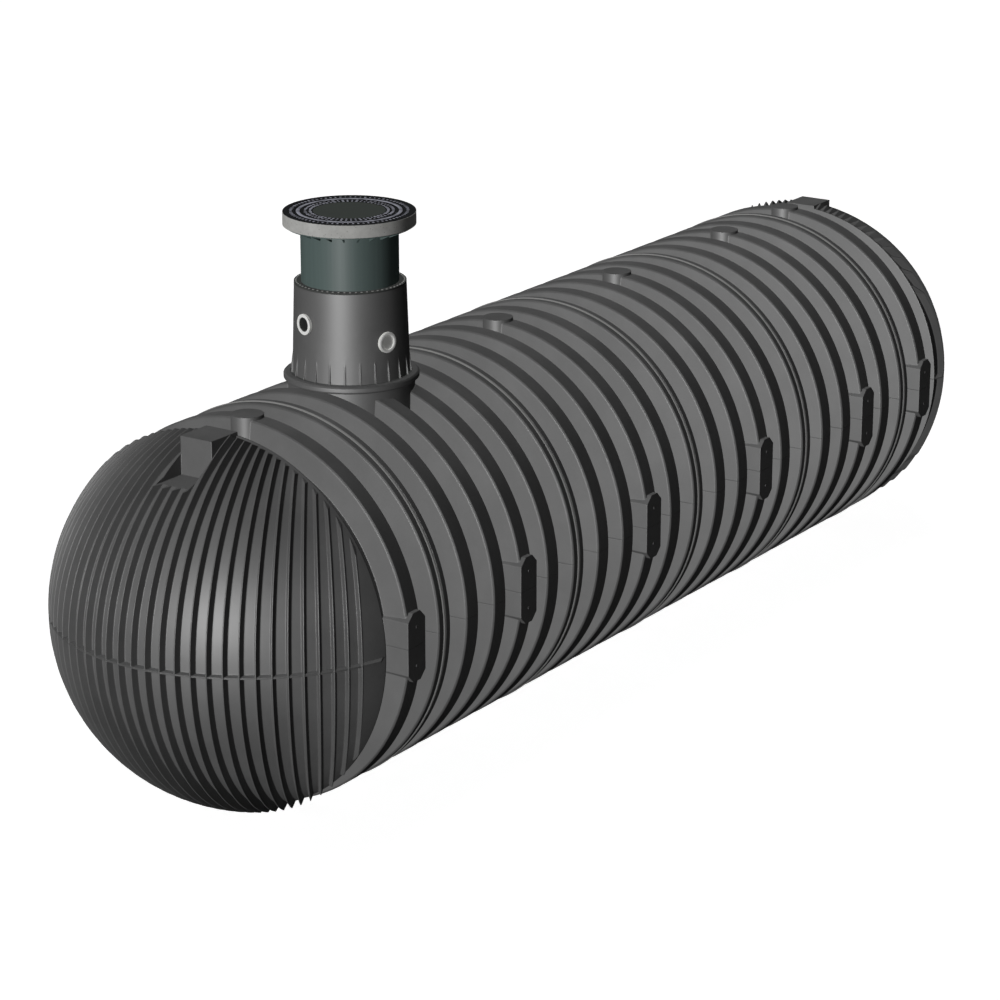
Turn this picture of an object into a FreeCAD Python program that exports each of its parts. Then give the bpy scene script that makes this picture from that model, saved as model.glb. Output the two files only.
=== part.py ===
"""Cesspool tank: ribbed moulded shell of half rings and domed ends, with a telescopic shaft and cover.

The tank lies along X with its front end towards -X, and stands on the floor at Z = 0.
Every sub-part is made about its own axis and then placed, and the sheet "dims" holds the driving sizes.
"""
import FreeCAD, Part
import math
import operator
import os
import Sketcher
from FreeCAD import Placement, Rotation, Vector

SIZES = {
    # Shell: rings of ribs, joined end to end
    "crown_radius": 1150.0,
    "groove_depth": 150.0,
    "wall": 9.0,
    "crown_width": 125.0,
    "rib_gap": 158.0,
    "flank_run": 8.0,
    "crown_bevel": 9.0,
    # Joint between two rings, with its bead
    "joint_land": 47.0,
    "bead_width": 26.0,
    "bead_depth": 40.0,
    "bead_rise": 5.0,
    "fit": 0.3,
    # Stubs at the top and bottom of a rib, pads at its sides
    "stub_radius": 95.0,
    "stub_height": 15.0,
    "pad_width": 165.0,
    "pad_height": 410.0,
    "pad_proud": 12.0,
    # Domed ends with fins
    "end_gap": 171.0,
    "dome_offset": 241.0,
    "dome_bulge": 5.0,
    "dome_fin_step": 3.02,
    "dome_fan_back": 550.0,
    "dome_fin_height": 45.0,
    "dome_fin_crest": 6.0,
    "dome_fin_root": 28.0,
    "band_width": 20.0,
    "band_ramp": 60.0,
    "seam_half": 5.0,
    "seam_drop": 3.0,
    # Pipe face at the top of a dome
    "face_offset": 519.0,
    "face_width": 222.0,
    "face_depth": 244.0,
    "face_drop": 16.0,
    # Socket for the shaft, heights from the crowns of the ribs and from its own lip
    "seal_room": 13.0,
    "socket_wall": 15.0,
    "socket_depth": 295.0,
    "lip_rise": 40.0,
    "lip_width": 26.0,
    "lip_height": 42.0,
    "lip_bevel": 10.0,
    "ledge_drop": 95.0,
    "ledge_height": 15.0,
    "ledge_width": 40.0,
    # Shaft extension with its seals
    "gasket_room": 42.5,
    "extension_taper": 17.0,
    "extension_height": 536.0,
    "shaft_wall": 12.0,
    "fin_height": 145.0,
    "fin_proud": 13.0,
    "fin_width": 7.0,
    "seal_height": 25.0,
    "pipe_bore": 55.0,
    "pipe_seal_wall": 6.5,
    "pipe_seal_depth": 34.0,
    "front_pipe_angle": 164.0,
    "front_pipe_drop": 205.0,
    "side_pipe_angle": -106.0,
    "side_pipe_drop": 301.0,
    "plug_height": 10.0,
    # Telescopic tube with its frame and cover
    "tube_radius": 287.5,
    "tube_overlap": 126.0,
    "tube_rise": 347.0,
    "slide_gap": 0.5,
    "gasket_rise": 9.0,
    "gasket_drop": 35.0,
    "frame_height": 75.0,
    "concrete_edge": 30.0,
    "flange_height": 12.0,
    "flange_inset": 18.0,
    "gusset_height": 40.0,
    "gusset_width": 7.0,
    "bore_room": 12.5,
    "rim_width": 42.0,
    "seat_lap": 15.0,
    "seat_height": 15.0,
    "cover_height": 30.0,
    "cover_lap": 27.0,
    "cover_gap": 6.0,
    "cover_border": 100.0,
    "infill_depth": 15.0,
}

RIBS = 4
RINGS = 4
STUB_RIB = 2
DOME_FINS = 32
FINS = 24
BEAD_STEPS = 6

OPERATIONS = {"+": operator.add, "-": operator.sub, "*": operator.mul, "/": operator.truediv}

doc = FreeCAD.newDocument("cesspool_tank")
sheet = doc.addObject("Spreadsheet::Sheet", "dims")


class Size:
    """A size of the sheet, or one worked out from several, as a number and as an expression."""

    def __init__(self, value, text):
        self.value = value
        self.text = text

    def __add__(self, other):
        return joined(self, "+", other)

    def __radd__(self, other):
        return joined(other, "+", self)

    def __sub__(self, other):
        return joined(self, "-", other)

    def __rsub__(self, other):
        return joined(other, "-", self)

    def __mul__(self, other):
        return joined(self, "*", other)

    def __rmul__(self, other):
        return joined(other, "*", self)

    def __truediv__(self, other):
        return joined(self, "/", other)

    def __neg__(self):
        return joined(-1, "*", self)


def as_size(number):
    """A plain number as a Size; a Size stays as it is."""
    return number if isinstance(number, Size) else Size(float(number), repr(float(number)))


def joined(left, sign, right):
    """Two sizes joined by one sign."""
    left, right = as_size(left), as_size(right)
    return Size(OPERATIONS[sign](left.value, right.value), f"({left.text} {sign} {right.text})")


def root(size):
    """The square root of a size."""
    return Size(math.sqrt(size.value), f"sqrt({size.text})")


def sine(angle):
    """The sine of an angle in degrees."""
    return Size(math.sin(math.radians(angle.value)), f"sin({angle.text})")


def cosine(angle):
    """The cosine of an angle in degrees."""
    return Size(math.cos(math.radians(angle.value)), f"cos({angle.text})")


def write_sheet():
    """Write each driving size to the sheet and return the sizes by name."""
    named = {}
    for row, (alias, value) in enumerate(SIZES.items(), start=1):
        sheet.set(f"A{row}", alias)
        sheet.set(f"B{row}", str(value))
        sheet.setAlias(f"B{row}", alias)
        named[alias] = Size(value, f"dims.{alias}")
    doc.recompute()
    return named


d = write_sheet()

# Sizes worked out from the sheet
GROOVE = d["crown_radius"] - d["groove_depth"]
BORE = GROOVE - d["wall"]
LAND_END = d["bead_width"] / 2 + d["joint_land"]
RIB_PITCH = d["crown_width"] + d["rib_gap"]
FIRST_RIB = LAND_END + d["rib_gap"]
RING_LENGTH = FIRST_RIB + RIBS * RIB_PITCH + LAND_END
STUB_X = FIRST_RIB + STUB_RIB * RIB_PITCH + d["crown_width"] / 2
AXIS_HEIGHT = d["crown_radius"] + d["stub_height"]
SHAFT_X = RING_LENGTH * (0.5 - RINGS / 2)
DOME_RADIUS = d["crown_radius"] + d["dome_bulge"]
CREST_RADIUS = DOME_RADIUS + d["dome_fin_height"]
FACE_FLOOR = d["crown_radius"] - d["face_depth"]
FACE_TOP = d["crown_radius"] - d["face_drop"]
LIP_TOP = d["crown_radius"] + d["lip_rise"]
LEDGE_TOP = LIP_TOP - d["ledge_drop"]
SOCKET_BOTTOM = LIP_TOP - d["socket_depth"]
EXTENSION_TOP = LIP_TOP + d["extension_height"]
TUBE_FOOT = EXTENSION_TOP - d["tube_overlap"]
FRAME_BOTTOM = EXTENSION_TOP + d["tube_rise"]
EXTENSION_HEAD = d["tube_radius"] + d["gasket_room"]
EXTENSION_FOOT = EXTENSION_HEAD + d["extension_taper"]
SOCKET_RADIUS = EXTENSION_FOOT + d["seal_room"] + d["socket_wall"]
LIP_RADIUS = SOCKET_RADIUS + d["lip_width"]
PIPE_SEAL_RADIUS = d["pipe_bore"] + d["pipe_seal_wall"]
CONCRETE_BORE = d["tube_radius"] + d["bore_room"]
SEAT_BORE = CONCRETE_BORE - d["seat_lap"]
COVER_RADIUS = SEAT_BORE + d["cover_lap"]
INFILL_RADIUS = COVER_RADIUS - d["cover_border"]
RIM_RADIUS = COVER_RADIUS + d["cover_gap"] + d["rim_width"]
FRAME_RADIUS = RIM_RADIUS + d["concrete_edge"]
FLANGE_RADIUS = FRAME_RADIUS - d["flange_inset"]


def bind(item, prop, size):
    """Bind a property to a size, or set it where the size is a plain number."""
    if isinstance(size, Size):
        item.setExpression(prop, size.text)
    else:
        setattr(item, prop, size)


def place(item, x=0.0, y=0.0, z=0.0, turn=None):
    """Place an object, with each coordinate bound to its size."""
    spot = [as_size(coordinate).value for coordinate in (x, y, z)]
    item.Placement = Placement(Vector(*spot), turn or Rotation())
    for axis, coordinate in zip("xyz", (x, y, z)):
        if isinstance(coordinate, Size):
            item.setExpression(f"Placement.Base.{axis}", coordinate.text)
    return item


def box(name, length, width, height, x=0.0, y=0.0, z=0.0):
    """A box with its lowest corner at x, y, z."""
    item = doc.addObject("Part::Box", name)
    bind(item, "Length", length)
    bind(item, "Width", width)
    bind(item, "Height", height)
    return place(item, x, y, z)


def cylinder(name, radius, height, x=0.0, y=0.0, z=0.0, turn=None):
    """A cylinder that starts at x, y, z and runs along Z before its turn."""
    item = doc.addObject("Part::Cylinder", name)
    bind(item, "Radius", radius)
    bind(item, "Height", height)
    return place(item, x, y, z, turn)


def ball(name, radius, x=0.0):
    """A ball on the X axis, with its seam on the side away from the dome."""
    item = doc.addObject("Part::Sphere", name)
    bind(item, "Radius", radius)
    return place(item, x, turn=Rotation(Vector(0, 0, 1), 180))


def compound(name, items):
    """Several shapes kept as one object."""
    item = doc.addObject("Part::Compound", name)
    item.Links = items
    return item


def fuse(name, items):
    """Several solids made into one."""
    item = doc.addObject("Part::MultiFuse", name)
    item.Shapes = items
    return item


def cut(name, base, tool):
    """A solid with another taken away."""
    item = doc.addObject("Part::Cut", name)
    item.Base = base
    item.Tool = tool
    return item


def common(name, base, tool):
    """What two solids share."""
    item = doc.addObject("Part::Common", name)
    item.Base = base
    item.Tool = tool
    return item


def origin_part(body, role):
    """A plane or an axis of a body's own origin."""
    return next(part for part in body.Origin.OriginFeatures if part.Role == role)


def outline(body, name, plane, corners):
    """A closed sketch of straight lines whose corners are bound to their sizes."""
    sketch = body.newObject("Sketcher::SketchObject", name)
    sketch.AttachmentSupport = (origin_part(body, plane), [""])
    sketch.MapMode = "FlatFace"
    spots = [Vector(as_size(across).value, as_size(up).value, 0) for across, up in corners]
    for start, end in zip(spots, spots[1:] + spots[:1]):
        sketch.addGeometry(Part.LineSegment(start, end), False)
    for line in range(len(spots)):
        following = (line + 1) % len(spots)
        sketch.addConstraint(Sketcher.Constraint("Coincident", line, 2, following, 1))
    for line, pair in enumerate(corners):
        for kind, length in zip(("DistanceX", "DistanceY"), pair):
            size = as_size(length)
            number = sketch.addConstraint(Sketcher.Constraint(kind, -1, 1, line, 1, size.value))
            if isinstance(length, Size):
                sketch.setExpression(f"Constraints[{number}]", size.text)
    return sketch


def turned(name, plane, axis, corners, angle=360.0, both_ways=False):
    """A body revolved from an outline, about the sketch's horizontal or vertical axis."""
    body = doc.addObject("PartDesign::Body", name)
    sketch = outline(body, name + "_outline", plane, corners)
    revolution = body.newObject("PartDesign::Revolution", name + "_turn")
    revolution.Profile = sketch
    revolution.ReferenceAxis = (sketch, [axis])
    revolution.Angle = angle
    revolution.Midplane = both_ways
    sketch.Visibility = False
    doc.recompute()
    return body


def upright(name, corners):
    """A body revolved about its own vertical axis."""
    return turned(name, "XZ_Plane", "V_Axis", corners)


def crown_edge(edge, side):
    """The two corners of a rounded crown edge: side is 1 where the crown runs on to +X, else -1."""
    bevel = d["crown_bevel"]
    drop = d["flank_run"] * bevel / d["groove_depth"]
    return [(edge - side * drop, d["crown_radius"] - bevel), (edge + side * bevel, d["crown_radius"])]


def rib_outline(starts, last):
    """Outer corners of the ribs that start at the given places, then the last corners, then the inner ones."""
    outer, inner = [], []
    run, wall, width = d["flank_run"], d["wall"], d["crown_width"]
    for start in starts:
        end = start + width
        outer += [(start - run, GROOVE), *crown_edge(start, 1)]
        outer += [*crown_edge(end, -1)[::-1], (end + run, GROOVE)]
        inner += [(start - run + wall, BORE), (start + wall, d["crown_radius"] - wall)]
        inner += [(end - wall, d["crown_radius"] - wall), (end + run - wall, BORE)]
    return outer + last + inner[::-1]


def joint_start():
    """Corners of the flange and half crown at a joint: outer ones in order, inner ones in order."""
    half = d["bead_width"] / 2
    flange = half + d["wall"]
    crown = d["crown_radius"]
    seat = crown - d["bead_depth"]
    outer = [(0.0, BORE), (0.0, seat), (half, seat), (half, crown)]
    outer += [*crown_edge(LAND_END, -1)[::-1], (LAND_END + d["flank_run"], GROOVE)]
    inner = [(flange, BORE), (flange, crown - d["wall"]), (LAND_END - d["wall"], crown - d["wall"])]
    inner += [(LAND_END + d["flank_run"] - d["wall"], BORE)]
    return outer, inner


def mirrored(corners):
    """Corners of a ring's first joint carried over to its far joint."""
    return [(RING_LENGTH - across, up) for across, up in corners]


def ring_shell(name):
    """The ribbed wall of one half ring, from joint to joint."""
    outer, inner = joint_start()
    starts = [FIRST_RIB + rib * RIB_PITCH for rib in range(RIBS)]
    far_joint = mirrored(outer)[::-1] + mirrored(inner)
    ribs = rib_outline(starts, far_joint)
    return turned(name, "XY_Plane", "H_Axis", outer + ribs + inner[::-1], 180.0)


def octagon(name, across, height, x, y, z):
    """An eight-sided prism that starts at x, y, z and runs along -Y, with one flat side up."""
    item = doc.addObject("Part::Prism", name)
    item.Polygon = 8
    bind(item, "Circumradius", across / (2 * math.cos(math.pi / 8)))
    bind(item, "Height", height)
    return place(item, x, y, z, Rotation(Vector(1, 0, 0), 90) * Rotation(Vector(0, 0, 1), 22.5))


def pad(name, side, shrink, reach):
    """Upper half of a side pad with its corners cut off; shrink and reach make its hollow."""
    width = d["pad_width"] - 2 * shrink
    rise = (d["pad_height"] - d["pad_width"]) / 2
    back = d["crown_radius"] / 2
    depth = d["crown_radius"] + d["pad_proud"] - reach - back
    near = back if side > 0 else -back - depth
    block = box(name + "_block", width, depth, rise, STUB_X - width / 2, near, 0.0)
    end = octagon(name + "_end", width, depth, STUB_X, near + depth, rise)
    return [block, end]


def with_pads(name, shell, more_outside=(), more_inside=()):
    """A half ring with its side pads, hollowed and cleared to the bore."""
    outside = [shell, *more_outside]
    inside = [*more_inside]
    for label, side in (("left", 1), ("right", -1)):
        outside += pad(f"{name}_{label}_pad", side, 0.0, 0.0)
        inside += pad(f"{name}_{label}_hollow", side, d["wall"], d["wall"])
    bore = cylinder(name + "_bore", BORE, RING_LENGTH, turn=Rotation(Vector(0, 1, 0), 90))
    solid = fuse(name + "_solid", outside)
    return cut(name, solid, fuse(name + "_inside", inside + [bore]))


def make_ring_half():
    """A half ring with its pads and its stub."""
    shell = ring_shell("ring_shell")
    top = d["crown_radius"] + d["stub_height"]
    stub = cylinder("stub", d["stub_radius"], top, STUB_X)
    hollow = cylinder("stub_hollow", d["stub_radius"] - d["wall"], top - d["wall"], STUB_X)
    return with_pads("ring_half", shell, [stub], [hollow])


def make_shaft_ring_half():
    """A half ring with a round hole for the shaft socket where the others have a stub."""
    shell = ring_shell("shaft_ring_shell")
    hole = cylinder("shaft_hole", SOCKET_RADIUS + d["fit"], 2 * d["crown_radius"], RING_LENGTH / 2)
    under_lip = LIP_TOP - d["lip_height"] - d["fit"]
    seat = cylinder("lip_seat", LIP_RADIUS + d["fit"], d["crown_radius"], RING_LENGTH / 2, 0.0, under_lip)
    return with_pads("shaft_ring_half", shell, [], [hole, seat])


def dome_fin(name, angle, end):
    """One fin of the dome, a round rib in an upright plane that stops at the given end along X.

    The planes of all fins meet in one upright line behind the dome's centre.
    """
    aside = d["dome_fan_back"] * sine(angle)
    crest = root(CREST_RADIUS * CREST_RADIUS - aside * aside)
    level = root(DOME_RADIUS * DOME_RADIUS - aside * aside)
    foot = level - 2 * d["wall"]
    tip, base = d["dome_fin_crest"] / 2, d["dome_fin_root"] / 2
    corners = [(foot, aside - base), (level, aside - base), (crest, aside - tip)]
    corners += [(crest, aside + tip), (level, aside + base), (foot, aside + base)]
    share = (end + aside * sine(angle)) / (crest * cosine(angle))
    sweep = 2 * math.degrees(math.acos(share.value))
    fin = turned(name, "XY_Plane", "V_Axis", corners, sweep, True)
    fin.Placement = Placement(Vector(), Rotation(Vector(0, 0, 1), angle.value))
    fin.setExpression("Placement.Rotation.Yaw", angle.text)
    return fin


def fin_ramp(name, rim):
    """A cone that opens to +X: the fins end on it, from the dome's skin up to their full height."""
    near = rim + d["band_width"]
    far = near + d["band_ramp"]
    low = root(DOME_RADIUS * DOME_RADIUS - near * near)
    slope = (root(CREST_RADIUS * CREST_RADIUS - far * far) - low) / d["band_ramp"]
    length = 2 * CREST_RADIUS
    ramp = doc.addObject("Part::Cone", name)
    bind(ramp, "Radius1", low - slope * d["wall"])
    bind(ramp, "Radius2", low + slope * (length - d["wall"]))
    bind(ramp, "Height", length)
    return place(ramp, near - d["wall"], turn=Rotation(Vector(0, 1, 0), 90))


def finned_ball(name, rim, ramp):
    """A ball with upright fins that run down to its skin near the rim."""
    fins = []
    for number in range(DOME_FINS):
        angle = (number - (DOME_FINS - 1) / 2) * d["dome_fin_step"]
        fins.append(dome_fin(f"{name}_fin_{number + 1}", angle, rim + d["band_width"] / 2))
    ramped = common(name + "_fins", compound(name + "_full_fins", fins), ramp)
    return fuse(name, [ball(name + "_skin", DOME_RADIUS), ramped])


def dome_half(name, skin, hollow, flange, rim):
    """The half above the seam of a dome that is hollowed out, with the flange along its seam."""
    reach = CREST_RADIUS
    front = box(name + "_front", reach, 2 * reach, reach, rim, -reach, 0.0)
    half = common(name + "_half", cut(name + "_shell", skin, hollow), front)
    slab = box(name + "_seam_slab", reach, 2 * reach, d["seam_half"], rim, -reach, 0.0)
    return fuse(name, [half, common(name + "_seam", flange, slab)])


def make_domes(rim):
    """Half of the finned dome with the pipe face and half of it without, about the dome's centre."""
    radius, wall = d["crown_radius"], d["wall"]
    ramp = fin_ramp("fin_ramp", rim)
    outside = finned_ball("dome_outside", rim, ramp)
    inside = ball("dome_inside", DOME_RADIUS - wall)
    seam_ball = common("seam_ball", ball("seam_full", CREST_RADIUS - d["seam_drop"]), ramp)
    flange = cut("seam_ring", seam_ball, inside)
    half = d["face_width"] / 2
    tall = 2 * radius
    face = d["face_offset"]
    block = box("face_block", face - rim, d["face_width"], FACE_TOP, rim, -half, 0.0)
    notch = box("face_notch", tall, d["face_width"], tall, face, -half, FACE_FLOOR)
    room = box("face_room", face - rim - 2 * wall, d["face_width"] - 2 * wall, FACE_TOP - wall,
               rim + wall, wall - half, 0.0)
    step = box("face_step", tall, d["face_width"] + 2 * wall, tall, face - wall, -half - wall,
               FACE_FLOOR - wall)
    over = box("face_over", face - rim, d["face_width"], tall, rim, -half, FACE_TOP)
    skin = cut("face_skin", fuse("face_full", [outside, block]), fuse("face_clear", [notch, over]))
    hollow = cut("face_hollow", fuse("face_inside", [inside, room]), step)
    faced = dome_half("faced_dome", skin, hollow, flange, rim)
    plain = dome_half("plain_dome", outside, inside, flange, rim)
    return faced, plain


def make_end_halves():
    """The upper and lower half of an end, about the dome's centre with the dome to +X."""
    rib = LAND_END + d["end_gap"]
    rim = rib + d["crown_width"] + d["end_gap"]
    faced, plain = make_domes(rim - d["dome_offset"])
    return make_end_half("end_upper", rib, rim, faced), make_end_half("end_lower", rib, rim, plain)


def make_end_half(name, rib, rim, dome):
    """A half end: one rib, the rim and the given half of the dome."""
    outer, inner = joint_start()
    run, wall = d["flank_run"], d["wall"]
    rim_x = rim - d["dome_offset"]
    edge = root(DOME_RADIUS * DOME_RADIUS - rim_x * rim_x) - wall / 2
    last = [(rim - run, GROOVE), (rim, edge), (rim + wall, edge), (rim - run + wall, BORE)]
    corners = outer + rib_outline([rib], last) + inner[::-1]
    shifted = [(across - d["dome_offset"], up) for across, up in corners]
    body = turned(name + "_shell", "XY_Plane", "H_Axis", shifted, 180.0)
    middle = rib + d["crown_width"] / 2 - d["dome_offset"]
    top = d["crown_radius"] + d["stub_height"]
    stub = cylinder(name + "_stub", d["stub_radius"], top, middle)
    hollow = cylinder(name + "_stub_hollow", d["stub_radius"] - wall, top - wall, middle)
    outside, inside = [body, stub, dome], [hollow]
    for label, side in (("left", 1), ("right", -1)):
        outside += end_pad(f"{name}_{label}_pad", side, middle, 0.0, 0.0)
        inside += end_pad(f"{name}_{label}_hollow", side, middle, wall, wall)
    bore = cylinder(name + "_bore", BORE, rim, -d["dome_offset"], turn=Rotation(Vector(0, 1, 0), 90))
    return cut(name, fuse(name + "_solid", outside), fuse(name + "_inside", inside + [bore]))


def end_pad(name, side, middle, shrink, reach):
    """A side pad moved to the rib of an end."""
    pieces = pad(name, side, shrink, reach)
    block, end = pieces
    width = d["pad_width"] - 2 * shrink
    block.setExpression("Placement.Base.x", (middle - width / 2).text)
    end.setExpression("Placement.Base.x", middle.text)
    return pieces


def copies(source, spots):
    """Linked copies of one half, each a named piece of its own."""
    made = []
    for name, x, turn in spots:
        link = doc.addObject("App::Link", name)
        link.LinkedObject = source
        made.append(place(link, x, 0.0, AXIS_HEIGHT, turn))
    return made


UP = Rotation()
DOWN = Rotation(Vector(1, 0, 0), 180)
BACKWARD = Rotation(Vector(0, 0, 1), 180)
BACKWARD_DOWN = Rotation(Vector(0, 1, 0), 180)


def make_shell():
    """All half rings and half ends of the tank."""
    ring_half = make_ring_half()
    spots = [("ring_1_lower", RING_LENGTH * (-RINGS / 2), DOWN)]
    for ring in range(1, RINGS):
        x = RING_LENGTH * (ring - RINGS / 2)
        spots += [(f"ring_{ring + 1}_upper", x, UP), (f"ring_{ring + 1}_lower", x, DOWN)]
    pieces = copies(ring_half, spots)
    shaft_half = make_shaft_ring_half()
    pieces += copies(shaft_half, [("ring_1_upper", RING_LENGTH * (-RINGS / 2), UP)])
    far = RING_LENGTH * (RINGS / 2) + d["dome_offset"]
    upper, lower = make_end_halves()
    pieces += copies(upper, [("front_end_upper", -far, BACKWARD), ("back_end_upper", far, UP)])
    pieces += copies(lower, [("front_end_lower", -far, BACKWARD_DOWN), ("back_end_lower", far, DOWN)])
    return pieces


def make_beads():
    """The round bead that closes each joint between two rings."""
    half = d["bead_width"] / 2 - d["fit"]
    low = d["crown_radius"] - d["bead_depth"] + d["fit"]
    top = d["crown_radius"] + d["bead_rise"]
    corners = [(-half, low), (half, low)]
    for step in range(BEAD_STEPS + 1):
        angle = math.pi * step / BEAD_STEPS
        corners.append((half * math.cos(angle), top - half + half * math.sin(angle)))
    body = turned("bead", "XY_Plane", "H_Axis", corners)
    spots = [(f"joint_bead_{joint + 1}", RING_LENGTH * (joint - RINGS / 2), UP) for joint in range(RINGS + 1)]
    return copies(body, spots)


def on_shaft(item):
    """Place a piece that is made about the shaft's axis."""
    return place(item, SHAFT_X, 0.0, AXIS_HEIGHT)


def make_socket():
    """The neck that carries the shaft, with its lip and the ledge that the extension stands on."""
    radius, inner = SOCKET_RADIUS, SOCKET_RADIUS - d["socket_wall"]
    under = LEDGE_TOP - d["ledge_height"]
    ledge = inner - d["ledge_width"]
    corners = [(inner, SOCKET_BOTTOM), (radius, SOCKET_BOTTOM)]
    bevel, under_lip = d["lip_bevel"], LIP_TOP - d["lip_height"]
    corners += [(radius, under_lip), (LIP_RADIUS - bevel, under_lip), (LIP_RADIUS, under_lip + bevel)]
    corners += [(LIP_RADIUS, LIP_TOP - bevel), (LIP_RADIUS - bevel, LIP_TOP), (inner, LIP_TOP)]
    corners += [(inner, LEDGE_TOP)]
    corners += [(ledge, LEDGE_TOP), (ledge, under), (inner, under)]
    return [on_shaft(upright("shaft_socket", corners))]


def make_socket_seal():
    """The rubber ring between the socket and the extension."""
    inner = EXTENSION_FOOT + d["fit"]
    outer = SOCKET_RADIUS - d["socket_wall"] - d["fit"]
    low = LIP_TOP - d["seal_height"]
    corners = [(inner, low), (outer, low), (outer, LIP_TOP), (inner, LIP_TOP)]
    return [on_shaft(upright("socket_seal", corners))]


def polar_plates(body, name, corners, width, count):
    """Thin upright plates round a revolved body, padded once and repeated about its axis."""
    sketch = outline(body, name + "_outline", "XZ_Plane", corners)
    plate = body.newObject("PartDesign::Pad", name)
    plate.Profile = sketch
    plate.Midplane = True
    bind(plate, "Length", width)
    pattern = body.newObject("PartDesign::PolarPattern", name + "_pattern")
    pattern.Originals = [plate]
    pattern.Axis = (origin_part(body, "Z_Axis"), [""])
    pattern.Angle = 360.0
    pattern.Occurrences = count
    body.Tip = pattern
    sketch.Visibility = False
    doc.recompute()


def pipe_hole(name, radius, angle, level, start, length):
    """A level cylinder that points outwards from the shaft's axis at an angle."""
    item = doc.addObject("Part::Cylinder", name)
    bind(item, "Radius", radius)
    bind(item, "Height", length)
    turn = Rotation(Vector(0, 0, 1), angle.value) * Rotation(Vector(0, 1, 0), 90)
    direction = turn.multVec(Vector(0, 0, 1))
    x = SHAFT_X + as_size(start) * direction.x
    y = as_size(start) * direction.y
    return place(item, x, y, AXIS_HEIGHT + level, turn)


def wall_at(level):
    """Outer radius of the extension's tapered wall at a level."""
    share = (level - LIP_TOP) / (EXTENSION_TOP - LIP_TOP)
    return EXTENSION_FOOT + share * (EXTENSION_HEAD - EXTENSION_FOOT)


def make_extension():
    """The tapered shaft extension with its fins, and the two pipe seals in its wall."""
    foot, head, wall = EXTENSION_FOOT, EXTENSION_HEAD, d["shaft_wall"]
    corners = [(foot - wall, LEDGE_TOP), (foot, LEDGE_TOP), (foot, LIP_TOP)]
    corners += [(head, EXTENSION_TOP), (head - wall, EXTENSION_TOP), (foot - wall, LIP_TOP)]
    body = upright("extension_body", corners)
    low = LIP_TOP + d["fit"]
    fin = [(foot - wall / 2, low), (foot + d["fin_proud"], low)]
    fin += [(foot - wall / 2, low + d["fin_height"])]
    polar_plates(body, "fin", fin, d["fin_width"], FINS)
    on_shaft(body)
    pipes = (("front", d["front_pipe_angle"], EXTENSION_TOP - d["front_pipe_drop"]),
             ("side", d["side_pipe_angle"], EXTENSION_TOP - d["side_pipe_drop"]))
    holes, seals = [], []
    for label, angle, level in pipes:
        start = wall_at(level) - wall - d["pipe_seal_depth"] / 3
        holes.append(pipe_hole(f"{label}_hole", PIPE_SEAL_RADIUS + d["fit"], angle, level, 0.0, 2 * foot))
        ring = pipe_hole(f"{label}_ring", PIPE_SEAL_RADIUS, angle, level, start, d["pipe_seal_depth"])
        bore = pipe_hole(f"{label}_bore", d["pipe_bore"], angle, level, 0.0, 2 * foot)
        seals.append(cut(f"{label}_pipe_seal", ring, bore))
    label, angle, level = pipes[1]
    start = wall_at(level) - wall - d["pipe_seal_depth"] / 3 + d["pipe_seal_depth"] - 2 * d["plug_height"]
    plug = pipe_hole("side_pipe_plug", d["pipe_bore"] - d["fit"], angle, level, start, d["plug_height"])
    return [cut("shaft_extension", body, compound("pipe_holes", holes)), *seals, plug]


def make_gasket():
    """The gasket on the extension's rim that guides the telescopic tube."""
    inner = d["tube_radius"] + d["slide_gap"]
    outer = EXTENSION_HEAD - d["shaft_wall"] - d["fit"]
    top = EXTENSION_TOP
    corners = [(inner, top - d["gasket_drop"]), (outer, top - d["gasket_drop"]), (outer, top)]
    corners += [(EXTENSION_HEAD, top), (EXTENSION_HEAD, top + d["gasket_rise"])]
    corners += [(inner, top + d["gasket_rise"])]
    return [on_shaft(upright("tube_gasket", corners))]


def make_tube():
    """The telescopic tube with its top flange and the gussets under it."""
    radius, inner = d["tube_radius"], d["tube_radius"] - d["shaft_wall"]
    top, under = FRAME_BOTTOM, FRAME_BOTTOM - d["flange_height"]
    corners = [(inner, TUBE_FOOT), (radius, TUBE_FOOT), (radius, under)]
    corners += [(FLANGE_RADIUS, under), (FLANGE_RADIUS, top), (inner, top)]
    body = upright("telescopic_tube", corners)
    gusset = [(radius - d["shaft_wall"] / 2, under + d["flange_height"] / 2)]
    gusset += [(radius - d["shaft_wall"] / 2, under - d["gusset_height"])]
    gusset += [(FLANGE_RADIUS, under), (FLANGE_RADIUS, under + d["flange_height"] / 2)]
    polar_plates(body, "gusset", gusset, d["gusset_width"], FINS)
    return [on_shaft(body)]


def make_cover():
    """The concrete frame, its iron seat, the iron cover and the infill of the cover."""
    low = FRAME_BOTTOM
    top = low + d["frame_height"]
    seat = top - d["cover_height"]
    seat_low = seat - d["seat_height"]
    bore = COVER_RADIUS + d["cover_gap"]
    frame = [(CONCRETE_BORE, low), (FRAME_RADIUS, low), (FRAME_RADIUS, top)]
    frame += [(RIM_RADIUS, top), (RIM_RADIUS, seat_low), (CONCRETE_BORE, seat_low)]
    rim = [(SEAT_BORE, seat_low), (RIM_RADIUS, seat_low), (RIM_RADIUS, top)]
    rim += [(bore, top), (bore, seat), (SEAT_BORE, seat)]
    tray = top - d["infill_depth"]
    cover = [(0.0, seat), (COVER_RADIUS, seat), (COVER_RADIUS, top)]
    cover += [(INFILL_RADIUS, top), (INFILL_RADIUS, tray), (0.0, tray)]
    infill_edge = INFILL_RADIUS - d["fit"]
    infill = [(0.0, tray), (infill_edge, tray), (infill_edge, top), (0.0, top)]
    outlines = {"cover_frame": frame, "frame_seat": rim, "manhole_cover": cover, "cover_infill": infill}
    return [on_shaft(upright(name, corners)) for name, corners in outlines.items()]


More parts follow.
